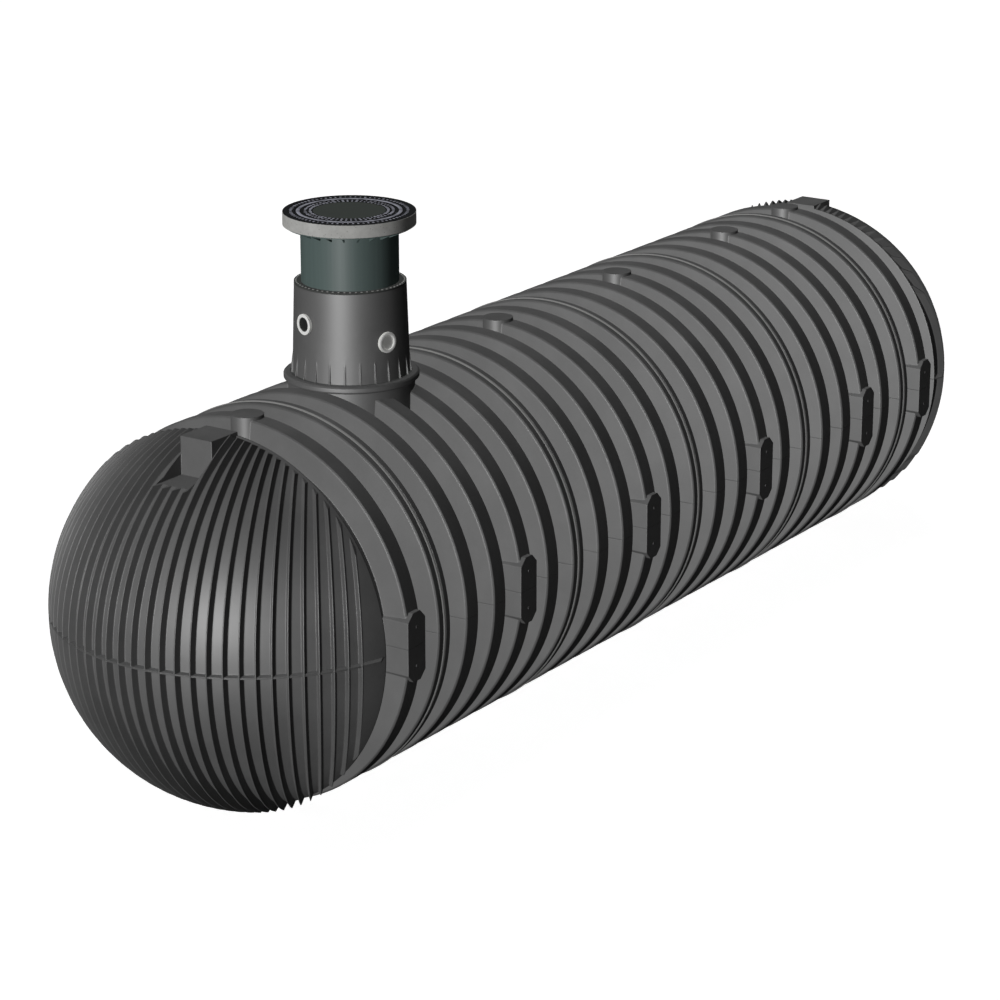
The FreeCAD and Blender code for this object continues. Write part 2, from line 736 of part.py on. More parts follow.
def shape_of(piece):
    """The placed shape of a piece, also where it is a linked copy."""
    return Part.getShape(piece)


def main():
    """Build every piece, check it and write its STEP file."""
    pieces = make_shell() + make_beads() + make_socket() + make_socket_seal() + make_extension()
    pieces += make_gasket() + make_tube() + make_cover()
    doc.recompute()
    for item in doc.Objects:
        if "Invalid" in item.State or "Error" in item.State:
            raise RuntimeError(f"{item.Label} failed to build: {item.State}")
    os.makedirs("parts", exist_ok=True)
    for piece in pieces:
        shape = shape_of(piece)
        if shape.isNull() or not shape.isValid() or len(shape.Solids) != 1:
            raise RuntimeError(f"{piece.Label} is not one valid solid")
        shape.exportStep(f"parts/{piece.Label}.step")


main()
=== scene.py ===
"""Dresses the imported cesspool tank: its finishes, its small cast and moulded details, and the stage."""

import math

import bmesh
import bpy
from bpy.props import FloatProperty, FloatVectorProperty, IntProperty, PointerProperty
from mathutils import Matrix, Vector


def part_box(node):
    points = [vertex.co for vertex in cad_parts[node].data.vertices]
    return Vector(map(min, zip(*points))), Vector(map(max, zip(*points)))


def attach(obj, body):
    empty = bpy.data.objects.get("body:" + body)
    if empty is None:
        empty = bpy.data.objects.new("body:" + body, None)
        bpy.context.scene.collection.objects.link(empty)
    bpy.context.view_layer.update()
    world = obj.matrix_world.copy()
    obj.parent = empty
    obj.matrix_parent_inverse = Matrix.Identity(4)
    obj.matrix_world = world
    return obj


bl_info = {
    "name": "Cesspool Tank",
    "version": (1, 0, 0),
    "blender": (4, 5, 0),
    "location": "View3D > Sidebar > Tank",
    "description": "Finishes, cast and moulded details and a stage for a buried cesspool tank",
    "category": "Object",
}

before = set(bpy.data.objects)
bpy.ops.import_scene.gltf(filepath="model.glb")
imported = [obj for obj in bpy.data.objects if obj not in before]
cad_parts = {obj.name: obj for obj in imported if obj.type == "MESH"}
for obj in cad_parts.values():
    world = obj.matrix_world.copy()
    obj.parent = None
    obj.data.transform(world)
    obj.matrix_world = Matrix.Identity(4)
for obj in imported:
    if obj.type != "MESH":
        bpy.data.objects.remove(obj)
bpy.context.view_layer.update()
MM = 0.001

RINGS = [f"ring_{i}_{half}" for i in (1, 2, 3, 4) for half in ("upper", "lower")]
ENDS = [f"{end}_end_{half}" for end in ("front", "back") for half in ("upper", "lower")]
BEADS = [f"joint_bead_{i}" for i in (1, 2, 3, 4, 5)]
# Middles of the side pads along the tank, in metres
PAD_PLACES = (-3.1135, -1.9735, -0.5635, 0.8465, 2.2565, 3.1135)
UPRIGHT = (0.0, 0.0, 1.0)
RING_STEPS = 128
SHARP_ANGLE = math.radians(30)
SCREW_SIDES = 16
BLOCK_TAPER = 0.22
BLOCK_SEED = 7
# Share of the iron that is rubbed bare
WEAR_PAINTED = 0.0
WEAR_SHELTERED = 0.05
WEAR_TRODDEN = 0.65
SUN_ANGLE = math.radians(12)
# Each sun's name, the setting that holds its strength, where it shines from, and whether it casts a shadow
SUNS = (
    ("Key light", "key", (-0.99, 0.0, 0.139), False),
    ("Rear light", "rear", (0.45, 0.487, 0.748), False),
    ("Back fill", "back", (0.686, 0.707, -0.172), False),
    ("Overhead", "overhead", (0.1, 0.1, 1.0), True),
)
GLEAM_RADIUS = 0.4
FLOOR_REACH = 80.0
SENSOR_WIDTH = 36
CAMERA_REACH = 200


def linear(code):
    """The linear colour, with alpha, of an sRGB hex value such as 5A5B5A."""
    channels = [int(code[i:i + 2], 16) / 255 for i in (0, 2, 4)]
    return [c / 12.92 if c <= 0.04045 else ((c + 0.055) / 1.055) ** 2.4 for c in channels] + [1.0]


def shade(colour, factor, lift=0.0):
    """A colour made lighter or darker by a factor."""
    return [min(1.0, c * factor + lift) for c in colour[:3]] + [1.0]


def per_metre(size_mm):
    """The texture scale whose features are about this many millimetres across."""
    return 1000 / size_mm


def add(tree, kind, inputs=None, **settings):
    """Adds a node, sets its properties, and fills or links its inputs."""
    node = tree.nodes.new(kind)
    for name, value in settings.items():
        setattr(node, name, value)
    for key, value in (inputs or {}).items():
        if isinstance(value, bpy.types.NodeSocket):
            tree.links.new(value, node.inputs[key])
        else:
            node.inputs[key].default_value = value
    return node


def hex_colour(name, description, code):
    """A colour property whose default is an sRGB hex value."""
    return FloatVectorProperty(name=name, description=description, size=4, subtype="COLOR",
                               min=0.0, max=1.0, default=linear(code))


def length(name, description, millimetres):
    """A length property whose default is given in millimetres."""
    return FloatProperty(name=name, description=description, default=millimetres * MM,
                         min=0.0, unit="LENGTH", precision=4)


def number(name, description, count):
    """A property that counts pieces round a ring."""
    return IntProperty(name=name, description=description, default=count, min=3)


def strength(name, description, value, unit="NONE"):
    """A property for how strong a light is."""
    return FloatProperty(name=name, description=description, default=value, min=0.0, unit=unit)


class TankFinishes(bpy.types.PropertyGroup):
    """Colours of the tank's materials."""

    shell: hex_colour("Shell", "Black polyethylene of the tank and its shaft", "585858")
    shell_dust: hex_colour("Shell dust", "Paler bloom on the polyethylene", "646464")
    bead: hex_colour("Joint bead", "Rubber strip between two rings", "8C8C8B")
    tube: hex_colour("Telescopic tube", "Green-grey polypropylene tube", "546260")
    seal: hex_colour("Pipe seal", "Pale rubber round the pipe openings", "F0F0EC")
    gasket: hex_colour("Gasket", "Black rubber between the shaft's parts", "484948")
    plug: hex_colour("Plug", "Grey disc that shuts the side opening", "A8A8A6")
    concrete: hex_colour("Concrete", "Cast concrete of the cover's frame", "C8C8C5")
    lug: hex_colour("Lug", "Grey rubber lugs of the tube's gasket", "9A9A98")
    iron: hex_colour("Cast iron", "Cover and seat", "292A2B")
    iron_worn: hex_colour("Worn iron", "Raised blocks that feet and wheels polish", "A2A3AE")
    infill: hex_colour("Infill", "Painted plate in the middle of the cover", "484C49")


class TankDetails(bpy.types.PropertyGroup):
    """Sizes of the small pieces."""

    screw_radius: length("Screw radius", "Head of a screw on a side pad", 9)
    screw_height: length("Screw height", "Length of a screw head, half of it proud of the pad", 5)
    screw_spread: length("Screw spread", "Distance between the two screws of a pad", 230)
    pipe_bore: length("Pipe bore", "Radius of the opening in a pipe seal", 55)
    lip_bore: length("Lip bore", "Radius inside the soft lip of a pipe seal", 43)
    lip_root: length("Lip root", "Where a lip starts, out from the middle of its seal", 13)
    lip_side: length("Lip side", "Where the sides of a lip end, out from the middle of its seal", 18)
    lip_face: length("Lip face", "Where the face of a lip lies, out from the middle of its seal", 20)
    lip_draft: length("Lip draft", "How far the outer side of a lip leans in", 1)
    lip_bevel: length("Lip bevel", "Width of the bevels on a lip's face", 4)
    lug_count: number("Lugs", "Rubber lugs round the tube's gasket", 60)
    lug_length: length("Lug length", "Size of a lug towards the tube", 10)
    lug_width: length("Lug width", "Size of a lug along the rim", 12)
    lug_height: length("Lug height", "Height of a lug, half of it above the gasket", 6)
    lug_inset: length("Lug inset", "From the gasket's outer edge to the middle of a lug", 12)
    cover_blocks: number("Cover blocks", "Blocks in each row of the cover", 56)
    seat_blocks: number("Seat blocks", "Blocks in the seat's ring", 72)
    inner_row: length("Inner row", "Radius of the cover's inner row of blocks", 228)
    outer_row: length("Outer row", "Radius of the cover's outer row of blocks", 257)
    seat_row: length("Seat row", "Radius of the seat's row of blocks", 341)
    block_length: length("Block length", "Size of a cast block outwards from the middle", 22)
    cover_block_width: length("Cover block width", "Size of a cover block along its row", 17)
    seat_block_width: length("Seat block width", "Size of a seat block along its row", 13)
    block_height: length("Block height", "Height of the cast blocks, half of it sunk in", 4)
    ring_inner: length("Ring inside", "Inner radius of the cover's plain ring", 289)
    ring_outer: length("Ring outside", "Outer radius of the cover's plain ring", 310)
    ring_slope: length("Ring slope", "Width of the plain ring's sloping sides", 4)
    ring_height: length("Ring height", "Height of the cover's plain ring and the seat's flange", 2)
    rim_inset: length("Rim inset", "How far the flange and the skirt stay inside the concrete's edge", 2)
    flange_width: length("Flange width", "Width of the flange that caps the concrete", 32)
    flange_slope: length("Flange slope", "Width of the flange's sloping sides", 2)
    skirt_width: length("Skirt width", "Width of the tube's skirt under the concrete", 28)
    skirt_bevel: length("Skirt bevel", "Width of the skirt's slopes", 4)
    skirt_depth: length("Skirt depth", "Height of the tube's skirt under the concrete", 9)


class TankStage(bpy.types.PropertyGroup):
    """Light and camera."""

    lens: FloatProperty(name="Lens", description="Focal length on a 36 mm sensor", default=120.46,
                        unit="CAMERA")
    camera_place: FloatVectorProperty(name="Camera place", description="Where the camera stands", size=3,
                                      default=(-17.417, -11.282, 7.744), subtype="XYZ", unit="LENGTH")
    camera_aim: FloatVectorProperty(name="Camera aim", description="Direction in which the camera looks",
                                    size=3, default=(0.7903, 0.5283, -0.3104), subtype="DIRECTION")
    key: strength("Key light", "Level light from the front end", 2.1)
    rear: strength("Rear light", "Light from above the back end", 1.47)
    back: strength("Back fill", "Light on the sides the camera does not see", 1.8)
    overhead: strength("Overhead", "Soft light that casts the floor's shadow", 0.25)
    gleam: strength("Gleam", "Lamp seen only in reflections", 3700.0, "POWER")
    gleam_place: FloatVectorProperty(name="Gleam place", description="Where the reflected lamp hangs",
                                     size=3, default=(-14.0, -3.0, 3.2), subtype="XYZ", unit="LENGTH")
    ambient: strength("Ambient", "Level light from all round", 0.055)


def empty_material(name):
    """A node material with nothing in it yet, and its tree."""
    material = bpy.data.materials.new(name)
    material.use_nodes = True
    material.node_tree.nodes.clear()
    return material, material.node_tree


def object_place(tree):
    """The place on the object, in metres."""
    return add(tree, "ShaderNodeTexCoord").outputs["Object"]


def noise(tree, place, size_mm, detail, roughness=0.5):
    """A noise from 0 to 1 whose features are about this many millimetres across."""
    return add(tree, "ShaderNodeTexNoise", {"Vector": place, "Scale": per_metre(size_mm), "Detail": detail,
                                            "Roughness": roughness}).outputs["Fac"]


def ramp(tree, value, start, end, low=0.0, high=1.0):
    """A value stretched from one range to another, and held at its ends."""
    return add(tree, "ShaderNodeMapRange", {"Value": value, "From Min": start, "From Max": end,
                                            "To Min": low, "To Max": high}).outputs["Result"]


def blend(tree, factor, first, second):
    """Two colours mixed by a factor."""
    return add(tree, "ShaderNodeMix", {"Factor": factor, "A": first, "B": second},
               data_type="RGBA").outputs["Result"]


def bump(tree, height, amount, depth_mm, **inputs):
    """A normal that shows a height as a relief of this depth."""
    return add(tree, "ShaderNodeBump", {"Height": height, "Strength": amount, "Distance": depth_mm * MM,
                                        **inputs}).outputs["Normal"]


def principled(tree, inputs):
    """Joins a Principled shader with these inputs to the output.

    The photograph's plain tones have no sheen at their edges, so every finish leaves out the specular layer.
    What does shine has a thin coat instead.
    """
    shader = add(tree, "ShaderNodeBsdfPrincipled", {"Specular IOR Level": 0.0, **inputs})
    add(tree, "ShaderNodeOutputMaterial", {"Surface": shader.outputs["BSDF"]})


def moulded_polyethylene(name, colour, dust):
    """Rotomoulded polyethylene: dull satin, slightly clouded, with a fine orange-peel skin."""
    material, tree = empty_material(name)
    place = object_place(tree)
    cloud = noise(tree, place, 420, 5.0, 0.6)
    paint = blend(tree, ramp(tree, cloud, 0.4, 0.75), colour, dust)
    # The real skin is about 2 mm coarse and is drawn at 14 mm so that it shows at this distance.
    skin = noise(tree, place, 14, 2.0)
    round_edge = add(tree, "ShaderNodeBevel", {"Radius": 9 * MM}, samples=6)
    relief = bump(tree, skin, 0.12, 1, Normal=round_edge.outputs["Normal"])
    principled(tree, {"Base Color": paint, "Roughness": ramp(tree, cloud, 0.3, 0.7, 0.46, 0.56),
                      "Coat Weight": 0.0048, "Coat IOR": 3.0, "Coat Roughness": 0.56,
                      "Normal": relief, "Coat Normal": relief})
    return material


def extruded_polypropylene(name, colour):
    """Extruded polypropylene pipe: smoother than the shell, with faint draw lines along its length."""
    material, tree = empty_material(name)
    drawn = add(tree, "ShaderNodeMapping", {"Vector": object_place(tree), "Scale": (1.0, 1.0, 0.02)})
    lines = noise(tree, drawn.outputs["Vector"], 22, 3.0)
    principled(tree, {"Base Color": blend(tree, lines, colour, shade(colour, 1.25)), "Roughness": 0.5,
                      "Coat Weight": 0.0013, "Coat IOR": 3.0, "Coat Roughness": 0.5,
                      "Normal": bump(tree, lines, 0.15, 1)})
    return material


def moulded_rubber(name, colour):
    """EPDM rubber, and the plug's plastic, which looks alike: matt, with a soft bloom."""
    material, tree = empty_material(name)
    bloom = noise(tree, object_place(tree), 40, 4.0)
    principled(tree, {"Base Color": blend(tree, bloom, colour, shade(colour, 1.2, 0.004)),
                      "Roughness": 0.6, "Normal": bump(tree, bloom, 0.1, 1)})
    return material


def rubber_with_painted_bore_shade(name, colour, bore_shade_colour, centre, axis, bore):
    """Rubber seal: a pale face round the opening, and painted shade in its bore: a black band that stands in
    for the shade inside the opening.
    """
    material, tree = empty_material(name)
    place = object_place(tree)
    offset = add(tree, "ShaderNodeVectorMath", {0: place, 1: centre}, operation="SUBTRACT")
    across = add(tree, "ShaderNodeVectorMath", {0: offset.outputs["Vector"], 1: axis},
                 operation="CROSS_PRODUCT")
    radius = add(tree, "ShaderNodeVectorMath", {0: across.outputs["Vector"]}, operation="LENGTH")
    # Painted shade: inside the bore the colour turns black, standing in for the shade that falls inside the
    # opening.
    face = ramp(tree, radius.outputs["Value"], bore + 0.3 * MM, bore + 0.8 * MM)
    pale = blend(tree, noise(tree, place, 40, 4.0), shade(colour, 0.85), colour)
    principled(tree, {"Base Color": blend(tree, face, bore_shade_colour, pale), "Roughness": 0.6})
    return material


def cast_concrete(name, colour):
    """Cast concrete: mottled cement paste with small dark air holes."""
    material, tree = empty_material(name)
    place = object_place(tree)
    paste = noise(tree, place, 55, 7.0, 0.68)
    holes = add(tree, "ShaderNodeTexVoronoi", {"Vector": place, "Scale": per_metre(26)})
    dark = shade(colour, 0.62)
    mottle = blend(tree, paste, dark, shade(colour, 1.15))
    pitted = blend(tree, ramp(tree, holes.outputs["Distance"], 0.05, 0.2), dark, mottle)
    principled(tree, {"Base Color": pitted, "Roughness": 0.88, "Normal": bump(tree, paste, 0.2, 3)})
    return material


def cast_iron(name, colour, worn, wear):
    """Sand-cast iron under thin black paint: sandy grain, paler where it is rubbed."""
    material, tree = empty_material(name)
    place = object_place(tree)
    sand = noise(tree, place, 9, 4.0)
    bare = ramp(tree, noise(tree, place, 60, 5.0), 0.75 - wear, 0.95 - 0.6 * wear)
    principled(tree, {"Base Color": blend(tree, bare, colour, worn), "Roughness": 0.55,
                      "Normal": bump(tree, sand, 0.3, 2)})
    return material


def finish_node(node, material):
    """Gives a CAD node its material."""
    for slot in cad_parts[node].material_slots:
        slot.material = material


def top_centre(node):
    """The middle of a CAD node's top."""
    low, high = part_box(node)
    return Vector(((low.x + high.x) / 2, (low.y + high.y) / 2, high.z))


def size_tree(name, sizes):
    """A geometry tree with these named inputs, and its input node."""
    tree = bpy.data.node_groups.new(name, "GeometryNodeTree")
    tree.interface.new_socket("Geometry", in_out="INPUT", socket_type="NodeSocketGeometry")
    for label, kind in sizes.items():
        tree.interface.new_socket(label, in_out="INPUT", socket_type=kind)
    tree.interface.new_socket("Geometry", in_out="OUTPUT", socket_type="NodeSocketGeometry")
    return tree, add(tree, "NodeGroupInput")


def end_tree(tree, geometry, material):
    """Ends a tree in real, finished geometry."""
    real = add(tree, "GeometryNodeRealizeInstances", {"Geometry": geometry})
    done = add(tree, "GeometryNodeSetMaterial", {"Geometry": real.outputs["Geometry"], "Material": material})
    add(tree, "NodeGroupOutput", {"Geometry": done.outputs["Geometry"]})


def grown_piece(name, tree, points, sizes, body):
    """Runs a tree once on some points, and keeps the result as a plain mesh that rides on a body."""
    mesh = bpy.data.meshes.new(name)
    mesh.from_pydata(points, [], [])
    piece = bpy.data.objects.new(name, mesh)
    bpy.context.scene.collection.objects.link(piece)
    modifier = piece.modifiers.new("Grow", "NODES")
    modifier.node_group = tree
    for item in tree.interface.items_tree:
        if item.in_out == "INPUT" and item.name in sizes:
            modifier[item.identifier] = sizes[item.name]
    graph = bpy.context.evaluated_depsgraph_get()
    grown = bpy.data.meshes.new_from_object(piece.evaluated_get(graph), depsgraph=graph)
    piece.modifiers.remove(modifier)
    piece.data = grown
    if not grown.polygons:
        raise RuntimeError(f"{name}: the tree made no faces")
    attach(piece, body)


def calculate(tree, operation, first, second):
    """The result of a sum on two numbers in a tree."""
    return add(tree, "ShaderNodeMath", {0: first, 1: second}, operation=operation).outputs["Value"]


def split_position(tree):
    """The parts of a point's position."""
    position = add(tree, "GeometryNodeInputPosition").outputs["Position"]
    return add(tree, "ShaderNodeSeparateXYZ", {"Vector": position}).outputs


def block_ring_tree(name, material):
    """A ring of tapered blocks, each turned towards the ring's axis."""
    tree, inputs = size_tree(name, {"Centre": "NodeSocketVector", "Radius": "NodeSocketFloat",
                                    "Count": "NodeSocketInt", "Block": "NodeSocketVector",
                                    "Uneven": "NodeSocketFloat"})
    sizes = inputs.outputs
    ring = add(tree, "GeometryNodeMeshCircle", {"Vertices": sizes["Count"], "Radius": sizes["Radius"]})
    spot = split_position(tree)
    facing = add(tree, "ShaderNodeCombineXYZ", {"Z": calculate(tree, "ARCTAN2", spot["Y"], spot["X"])})
    block = add(tree, "GeometryNodeMeshCube", {"Size": sizes["Block"]})
    corner = split_position(tree)
    top = add(tree, "FunctionNodeCompare", {"A": corner["Z"], "B": 0.0}, operation="GREATER_THAN")
    inward = add(tree, "ShaderNodeCombineXYZ", {
        side: calculate(tree, "MULTIPLY", corner[side], -BLOCK_TAPER) for side in ("X", "Y")})
    taper = add(tree, "GeometryNodeSetPosition", {"Geometry": block.outputs["Mesh"],
                                                  "Selection": top.outputs["Result"],
                                                  "Offset": inward.outputs["Vector"]})
    smallest = calculate(tree, "SUBTRACT", 1.0, sizes["Uneven"])
    wide = add(tree, "FunctionNodeRandomValue", {"Min": smallest, "Max": 1.0, "Seed": BLOCK_SEED})
    scale = add(tree, "ShaderNodeCombineXYZ", {"X": wide.outputs["Value"], "Y": wide.outputs["Value"],
                                               "Z": 1.0})
    blocks = add(tree, "GeometryNodeInstanceOnPoints", {"Points": ring.outputs["Mesh"],
                                                        "Instance": taper.outputs["Geometry"],
                                                        "Rotation": facing.outputs["Vector"],
                                                        "Scale": scale.outputs["Vector"]})
    placed = add(tree, "GeometryNodeTransform", {"Geometry": blocks.outputs["Instances"],
                                                 "Translation": sizes["Centre"]})
    end_tree(tree, placed.outputs["Geometry"], material)
    return tree


def screw_tree(name, material):
    """A low round head on every point, its axis along Y."""
    tree, inputs = size_tree(name, {"Radius": "NodeSocketFloat", "Height": "NodeSocketFloat"})
    sizes = inputs.outputs
    head = add(tree, "GeometryNodeMeshCylinder", {"Vertices": SCREW_SIDES, "Radius": sizes["Radius"],
                                                  "Depth": sizes["Height"]})
    turned = add(tree, "GeometryNodeTransform", {"Geometry": head.outputs["Mesh"],
                                                 "Rotation": (math.pi / 2, 0.0, 0.0)})
    heads = add(tree, "GeometryNodeInstanceOnPoints", {"Points": sizes["Geometry"],
                                                       "Instance": turned.outputs["Geometry"]})
    end_tree(tree, heads.outputs["Instances"], material)
    return tree


def raised_band(inner, outer, slope, height):
    """The section of a low ring with sloping sides, as radii and heights."""
    return [(inner, 0.0), (inner + slope, height), (outer - slope, height), (outer, 0.0)]


def turned_ring(name, profile, centre, axis, material, body):
    """A ring turned about an axis from a loop of radii and heights over its centre, kept on a body."""
    points = []
    faces = []
    turn = Vector(axis).to_track_quat("Z", "Y")
    for i in range(RING_STEPS):
        angle = 2 * math.pi * i / RING_STEPS
        points += [centre + turn @ Vector((r * math.cos(angle), r * math.sin(angle), h)) for r, h in profile]
        here = i * len(profile)
        there = (i + 1) % RING_STEPS * len(profile)
        for j in range(len(profile)):
            k = (j + 1) % len(profile)
            faces.append((here + j, there + j, there + k, here + k))
    mesh = bpy.data.meshes.new(name)
    mesh.from_pydata(points, [], faces)
    mesh.materials.append(material)
    shape = bmesh.new()
    shape.from_mesh(mesh)
    bmesh.ops.recalc_face_normals(shape, faces=shape.faces)
    shape.to_mesh(mesh)
    shape.free()
    mesh.shade_smooth()
    mesh.set_sharp_from_angle(angle=SHARP_ANGLE)
    ring = bpy.data.objects.new(name, mesh)
    bpy.context.scene.collection.objects.link(ring)
    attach(ring, body)


class TANK_OT_shell(bpy.types.Operator):
    """Finish the rings, the ends, the plain parts of the shaft, and the beads at the joints"""

    bl_idname = "tank.shell"
    bl_label = "Shell"

    def execute(self, context):
        colours = context.scene.tank_finishes
        shell = moulded_polyethylene("Moulded polyethylene", colours.shell, colours.shell_dust)
        for node in RINGS + ENDS + ["shaft_socket", "shaft_extension"]:
            finish_node(node, shell)
        bead = moulded_rubber("Joint rubber", colours.bead)
        for node in BEADS:
            finish_node(node, bead)
        return {"FINISHED"}


class TANK_OT_pad_screws(bpy.types.Operator):
    """Put two screw heads on every side pad"""

    bl_idname = "tank.pad_screws"
    bl_label = "Pad screws"

    def execute(self, context):
        sizes = context.scene.tank_details
        low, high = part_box("ring_2_upper")
        drop = sizes.screw_spread / 2
        points = [(x, s * high.y, low.z + z) for x in PAD_PLACES for s in (-1, 1) for z in (-drop, drop)]
        tree = screw_tree("Pad screw heads", bpy.data.materials["Moulded polyethylene"])
        grown_piece("pad_screws", tree, points, {"Radius": sizes.screw_radius, "Height": sizes.screw_height},
                    "tank")
        return {"FINISHED"}


class TANK_OT_shaft(bpy.types.Operator):
    """Finish the shaft's seals and plug, and add the seals' lips and the gasket's lugs"""

    bl_idname = "tank.shaft"
    bl_label = "Shaft"

    def execute(self, context):
        colours = context.scene.tank_finishes
        sizes = context.scene.tank_details
        black = moulded_rubber("Black rubber", colours.gasket)
        for node in ("socket_seal", "tube_gasket"):
            finish_node(node, black)
        self.seals_with_painted_bore_shade(colours, sizes)
        finish_node("side_pipe_plug", moulded_rubber("Plug polypropylene", colours.plug))
        low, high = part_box("tube_gasket")
        tree = block_ring_tree("Gasket lugs", moulded_rubber("Grey rubber", colours.lug))
        grown_piece("gasket_lugs", tree, [],
                    {"Centre": top_centre("tube_gasket"), "Radius": (high.x - low.x) / 2 - sizes.lug_inset,
                     "Count": sizes.lug_count, "Uneven": 0.0,
                     "Block": (sizes.lug_length, sizes.lug_width, sizes.lug_height)}, "tank")
        return {"FINISHED"}

    def seals_with_painted_bore_shade(self, colours, sizes):
        """Both pipe seals, each with painted shade in its bore and a soft lip that narrows its opening."""
        pale = moulded_rubber("Pale rubber", colours.seal)
        shaft = sum(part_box("shaft_extension"), Vector()) / 2
        for node in ("front_pipe_seal", "side_pipe_seal"):
            low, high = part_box(node)
            centre = (low + high) / 2
            axis = Vector((centre.x - shaft.x, centre.y - shaft.y, 0.0)).normalized()
            name = node.replace("_", " ").capitalize() + " rubber"
            # The gasket's black colour is reused here as the painted shade inside the seal's bore.
            finish_node(node, rubber_with_painted_bore_shade(name, colours.seal, colours.gasket, centre, axis, sizes.pipe_bore))
            edge = (high.z - low.z) / 2
            side = edge - sizes.lip_draft
            lip = [(edge, sizes.lip_root), (side, sizes.lip_side), (side - sizes.lip_bevel, sizes.lip_face),
                   (sizes.lip_bore + sizes.lip_bevel, sizes.lip_face), (sizes.lip_bore, sizes.lip_side),
                   (sizes.lip_bore, sizes.lip_root)]
            turned_ring(node.replace("seal", "lip"), lip, centre, axis, pale, "tank")


class TANK_OT_access(bpy.types.Operator):
    """Finish the telescopic tube, the frame and the cover, and cast their blocks and rings"""

    bl_idname = "tank.access"
    bl_label = "Access cover"

    def execute(self, context):
        colours = context.scene.tank_finishes
        sizes = context.scene.tank_details
        iron = cast_iron("Cast iron", colours.iron, colours.iron_worn, WEAR_SHELTERED)
        worn = cast_iron("Worn cast iron", colours.iron, colours.iron_worn, WEAR_TRODDEN)
        tube = extruded_polypropylene("Extruded polypropylene", colours.tube)
        finish_node("telescopic_tube", tube)
        finish_node("cover_frame", cast_concrete("Cast concrete", colours.concrete))
        for node in ("frame_seat", "manhole_cover"):
            finish_node(node, iron)
        painted = cast_iron("Painted cast iron", colours.infill, colours.iron_worn, WEAR_PAINTED)
        finish_node("cover_infill", painted)
        centre = top_centre("manhole_cover")
        self.cast_blocks(sizes, centre, worn)
        self.turn_rings(sizes, centre, iron, worn, tube)
        return {"FINISHED"}

    def cast_blocks(self, sizes, centre, worn):
        """Two rows of raised blocks on the cover, and one on its seat."""
        tree = block_ring_tree("Cover blocks", worn)
        block = (sizes.block_length, sizes.cover_block_width, sizes.block_height)
        for row, radius in (("inner", sizes.inner_row), ("outer", sizes.outer_row)):
            grown_piece(f"cover_blocks_{row}", tree, [],
                        {"Centre": centre, "Radius": radius, "Count": sizes.cover_blocks, "Block": block,
                         "Uneven": 0.5}, "cover")
        block = (sizes.block_length, sizes.seat_block_width, sizes.block_height)
        grown_piece("seat_blocks", tree, [],
                    {"Centre": centre, "Radius": sizes.seat_row, "Count": sizes.seat_blocks, "Block": block,
                     "Uneven": 0.35}, "telescope")

    def turn_rings(self, sizes, centre, iron, worn, tube):
        """The cover's plain ring, the flange that caps the concrete, and the tube's skirt below it."""
        plain = raised_band(sizes.ring_inner, sizes.ring_outer, sizes.ring_slope, sizes.ring_height)
        turned_ring("cover_ring", plain, centre, UPRIGHT, worn, "cover")
        low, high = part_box("cover_frame")
        edge = high.x - centre.x - sizes.rim_inset
        flange = raised_band(edge - sizes.flange_width, edge, sizes.flange_slope, sizes.ring_height)
        turned_ring("seat_flange", flange, centre, UPRIGHT, iron, "telescope")
        under = low.z - centre.z
        bevel = sizes.skirt_bevel
        inside = edge - sizes.skirt_width
        skirt = [(inside, under), (edge, under), (edge - bevel, under - bevel),
                 (inside + bevel, under - sizes.skirt_depth)]
        turned_ring("tube_skirt", skirt, centre, UPRIGHT, tube, "telescope")


class TANK_OT_stage(bpy.types.Operator):
    """Lay the floor, set the light and stand the camera"""

    bl_idname = "tank.stage"
    bl_label = "Stage"

    def execute(self, context):
        scene = context.scene
        stage = scene.tank_stage
        lay_floor()
        set_world(scene, stage.ambient)
        for name, setting, towards, shadow in SUNS:
            set_sun(name, towards, getattr(stage, setting), shadow)
        hang_gleam(stage.gleam, stage.gleam_place)
        stand_camera(scene, stage)
        scene.view_settings.view_transform = "Standard"
        return {"FINISHED"}


def seen_directly(tree):
    """1 for a ray from the camera or off a shiny or clear surface, and 0 for light on the object."""
    path = add(tree, "ShaderNodeLightPath").outputs
    shiny = calculate(tree, "MAXIMUM", path["Is Camera Ray"], path["Is Glossy Ray"])
    return calculate(tree, "MAXIMUM", shiny, path["Is Transmission Ray"])


def lay_floor():
    """A pale floor that looks white and keeps a soft shadow."""
    material, tree = empty_material("Pale studio floor")
    dim = add(tree, "ShaderNodeBsdfDiffuse", {"Color": linear("404040")})
    pale = add(tree, "ShaderNodeBsdfDiffuse", {"Color": linear("F4F4F4")})
    glow = add(tree, "ShaderNodeEmission", {"Color": linear("FFFFFF"), "Strength": 0.55})
    white = add(tree, "ShaderNodeAddShader", {0: pale.outputs[0], 1: glow.outputs[0]})
    mix = add(tree, "ShaderNodeMixShader", {0: seen_directly(tree), 1: dim.outputs[0], 2: white.outputs[0]})
    add(tree, "ShaderNodeOutputMaterial", {"Surface": mix.outputs[0]})
    corners = [(x * FLOOR_REACH, y * FLOOR_REACH, 0.0) for x, y in ((-1, -1), (1, -1), (1, 1), (-1, 1))]
    mesh = bpy.data.meshes.new("studio_floor")
    mesh.from_pydata(corners, [], [(0, 1, 2, 3)])
    mesh.materials.append(material)
    floor = bpy.data.objects.new("studio_floor", mesh)
    bpy.context.scene.collection.objects.link(floor)


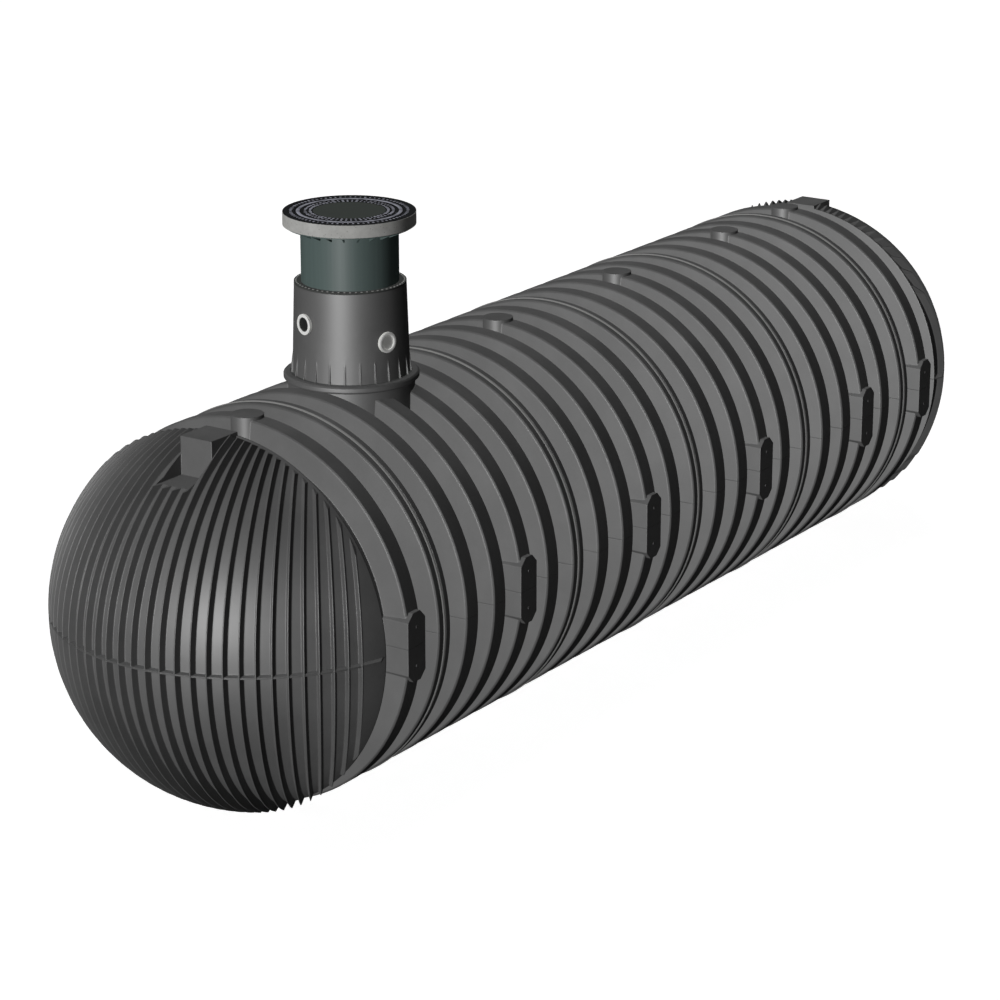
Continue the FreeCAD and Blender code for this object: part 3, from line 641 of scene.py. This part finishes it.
def set_world(scene, ambient):
    """A white surround for the eye, and a weak level light for the object."""
    world = bpy.data.worlds.new("Studio")
    world.use_nodes = True
    tree = world.node_tree
    tree.nodes.clear()
    weak = add(tree, "ShaderNodeBackground", {"Color": linear("FFFFFF"), "Strength": ambient})
    white = add(tree, "ShaderNodeBackground", {"Color": linear("FFFFFF"), "Strength": 1.0})
    mix = add(tree, "ShaderNodeMixShader", {0: seen_directly(tree), 1: weak.outputs[0], 2: white.outputs[0]})
    add(tree, "ShaderNodeOutputWorld", {"Surface": mix.outputs[0]})
    scene.world = world


def set_sun(name, towards, power, shadow):
    """A soft sun that shines from this direction, and that reflections leave out."""
    light = bpy.data.lights.new(name, "SUN")
    light.energy = power
    light.angle = SUN_ANGLE
    light.use_shadow = shadow
    sun = bpy.data.objects.new(name, light)
    sun.visible_glossy = False
    sun.rotation_euler = Vector(towards).to_track_quat("Z", "Y").to_euler()
    bpy.context.scene.collection.objects.link(sun)


def hang_gleam(power, place):
    """A lamp that only shiny surfaces see, as bright at the far end of the tank as at the near one."""
    light = bpy.data.lights.new("Gleam", "POINT")
    light.energy = power
    light.shadow_soft_size = GLEAM_RADIUS
    light.use_shadow = False
    light.use_nodes = True
    tree = light.node_tree
    tree.nodes.clear()
    level = add(tree, "ShaderNodeLightFalloff", {"Strength": 1.0})
    glow = add(tree, "ShaderNodeEmission", {"Strength": level.outputs["Constant"]})
    add(tree, "ShaderNodeOutputLight", {"Surface": glow.outputs["Emission"]})
    lamp = bpy.data.objects.new("Gleam", light)
    lamp.location = place
    lamp.visible_diffuse = False
    bpy.context.scene.collection.objects.link(lamp)


def stand_camera(scene, stage):
    """The camera at the photograph's place and angle."""
    data = bpy.data.cameras.new("Camera")
    data.lens = stage.lens
    data.sensor_width = SENSOR_WIDTH
    data.clip_end = CAMERA_REACH
    camera = bpy.data.objects.new("Camera", data)
    camera.location = stage.camera_place
    camera.rotation_euler = Vector(stage.camera_aim).to_track_quat("-Z", "Y").to_euler()
    scene.collection.objects.link(camera)
    scene.camera = camera


OPERATORS = (TANK_OT_shell, TANK_OT_pad_screws, TANK_OT_shaft, TANK_OT_access, TANK_OT_stage)


class TANK_PT_panel(bpy.types.Panel):
    """Sizes, colours and steps of the tank's dressing"""

    bl_idname = "TANK_PT_panel"
    bl_label = "Cesspool tank"
    bl_space_type = "VIEW_3D"
    bl_region_type = "UI"
    bl_category = "Tank"

    def draw(self, context):
        for group in ("tank_finishes", "tank_details", "tank_stage"):
            box = self.layout.box()
            settings = getattr(context.scene, group)
            for name in settings.__annotations__:
                box.prop(settings, name)
        for operator in OPERATORS:
            self.layout.operator(operator.bl_idname)


CLASSES = (TankFinishes, TankDetails, TankStage) + OPERATORS + (TANK_PT_panel,)


def register():
    """Adds the classes and their settings to Blender."""
    for cls in CLASSES:
        bpy.utils.register_class(cls)
    bpy.types.Scene.tank_finishes = PointerProperty(type=TankFinishes)
    bpy.types.Scene.tank_details = PointerProperty(type=TankDetails)
    bpy.types.Scene.tank_stage = PointerProperty(type=TankStage)


def unregister():
    """Takes them out again."""
    del bpy.types.Scene.tank_finishes
    del bpy.types.Scene.tank_details
    del bpy.types.Scene.tank_stage
    for cls in reversed(CLASSES):
        bpy.utils.unregister_class(cls)


def main():
    """Dresses the tank from the shell outwards, and keeps its size."""
    register()
    bpy.ops.tank.shell()
    bpy.ops.tank.pad_screws()
    bpy.ops.tank.shaft()
    bpy.ops.tank.access()
    bpy.ops.tank.stage()


if __name__ == "__main__":
    main()
